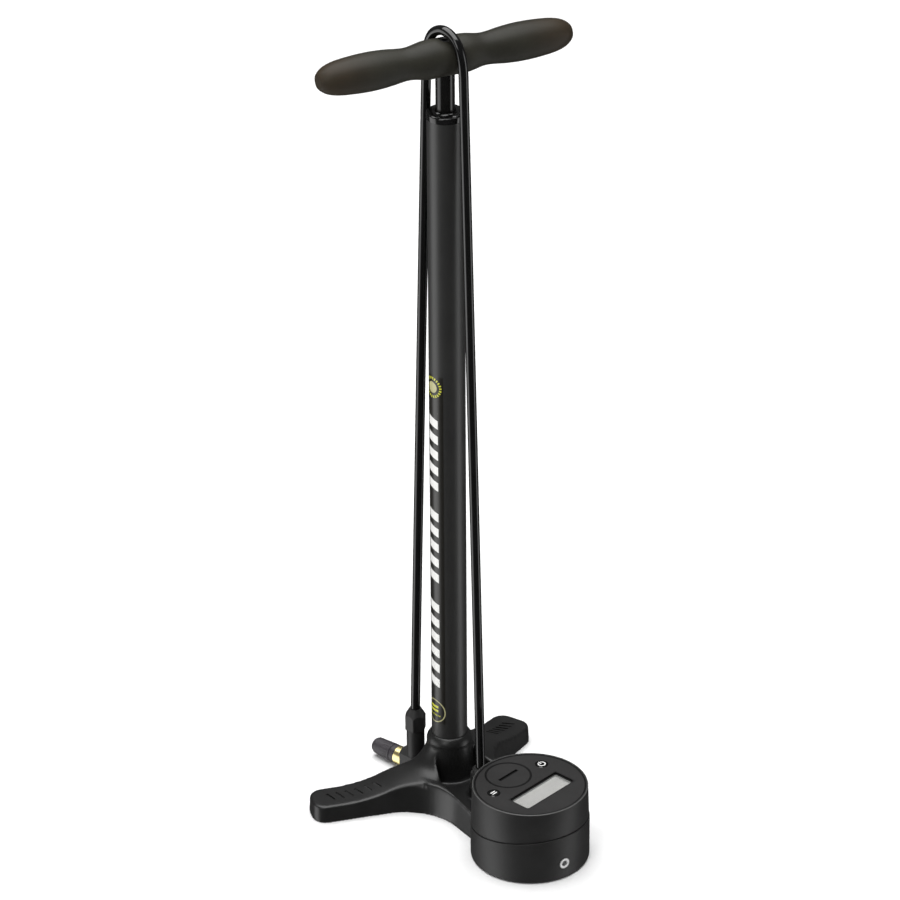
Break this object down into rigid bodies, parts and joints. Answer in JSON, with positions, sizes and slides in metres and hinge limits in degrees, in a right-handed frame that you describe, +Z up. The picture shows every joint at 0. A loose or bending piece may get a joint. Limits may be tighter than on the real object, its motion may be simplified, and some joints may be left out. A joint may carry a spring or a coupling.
{
  "type": "floor bike pump",
  "caption": "Tall floor pump with a slim barrel, turned handle, hose hooked over the handle, and a round digital gauge on one arm of its base.",
  "frame": {"origin": "where the barrel's axis meets the floor", "axes": "+Z up the barrel; -Y along the arm that carries the gauge; +X to the right of someone who faces +Y"},
  "size_m": [0.2305, 0.2513, 0.7073],
  "materials": {
    "cast_black": "satin black stoved paint",
    "barrel_black": "satin black anodised tube",
    "gloss_black": "gloss black moulding",
    "matte_black": "fine-grained black moulding",
    "face_grey": "charcoal moulding",
    "rod_chrome": "black chrome",
    "handle_wood": "black stained turned beech",
    "hose_rubber": "smooth gloss black",
    "rubber": "moulded rubber",
    "brass": "machined brass",
    "steel": "zinc-plated steel",
    "black_steel": "blackened steel",
    "lcd_grey": "grey liquid crystal panel",
    "clear_window": "clear polished window",
    "board_green": "circuit laminate"
  },
  "bodies": {
    "base": {"base_casting": "cast_black", "foot_pads": "rubber", "barrel": "barrel_black", "barrel_foot_seal": "rubber", "barrel_cap": "gloss_black", "rod_bush": "matte_black", "rod_wiper": "rubber", "foot_valve_body": "matte_black", "foot_valve_spring": "steel", "hose": "hose_rubber", "hose_fitting": "brass", "hose_nut": "matte_black", "head_boot": "matte_black", "head_body": "matte_black", "head_brass_ring": "brass", "head_seal": "rubber", "head_dock": "matte_black", "gauge_head": "cast_black", "gauge_gasket": "rubber", "face_plate": "face_grey", "lcd_window": "clear_window", "lcd_panel": "lcd_grey", "battery_holder": "matte_black", "battery_contact": "steel", "battery_cell": "steel", "battery_cover_seal": "rubber", "button_switches": "steel", "circuit_board": "board_green", "board_posts": "matte_black", "pressure_sensor": "brass", "air_tube": "brass", "gauge_screws": "steel", "pod_screw": "steel"},
    "plunger": {"piston_head": "matte_black", "piston_seal": "rubber", "piston_guide_ring": "matte_black", "bump_stop": "rubber"},
    "handle_group": {"piston_rod": "rod_chrome", "piston_bolt": "steel", "handle": "handle_wood", "rod_insert": "steel", "handle_screw": "black_steel"},
    "power_button_body": {"power_button": "gloss_black"},
    "unit_button_body": {"unit_button": "gloss_black"},
    "battery_cover_body": {"battery_cover": "face_grey"},
    "head_collar_body": {"head_collar": "matte_black"},
    "foot_valve_ball_body": {"foot_valve_ball": "rubber"}
  },
  "joints": [
    {"name": "plunger_slide", "type": "slide", "parent": "base", "child": "plunger", "axis": [0, 0, 1], "range_m": [0, 0.53], "deforming": ["hose"]},
    {"name": "handle_spin", "type": "hinge", "parent": "plunger", "child": "handle_group", "pos_m": [0, 0, 0.6], "axis": [0, 0, 1], "continuous": true},
    {"name": "power_button_press", "type": "slide", "parent": "base", "child": "power_button_body", "axis": [0, 0, -1], "range_m": [0, 0.0008], "stiffness_N_per_m": 900, "springref_m": -0.0004},
    {"name": "unit_button_press", "type": "slide", "parent": "base", "child": "unit_button_body", "axis": [0, 0, -1], "range_m": [0, 0.0008], "stiffness_N_per_m": 900, "springref_m": -0.0004},
    {"name": "battery_cover_turn", "type": "hinge", "parent": "base", "child": "battery_cover_body", "pos_m": [-0.00677, -0.09651, 0.0658], "axis": [0, 0, 1], "range_deg": [0, 50]},
    {"name": "head_collar_turn", "type": "hinge", "parent": "base", "child": "head_collar_body", "pos_m": [-0.01753, 0.06777, 0.009], "axis": [-0.2504, 0.9681, 0], "range_deg": [0, 180]},
    {"name": "foot_valve_ball_drop", "type": "slide", "parent": "base", "child": "foot_valve_ball_body", "axis": [0, 0, -1], "range_m": [0, 0.0015], "stiffness_N_per_m": 100, "springref_m": -0.001, "deforming": ["foot_valve_spring"]}
  ]
}
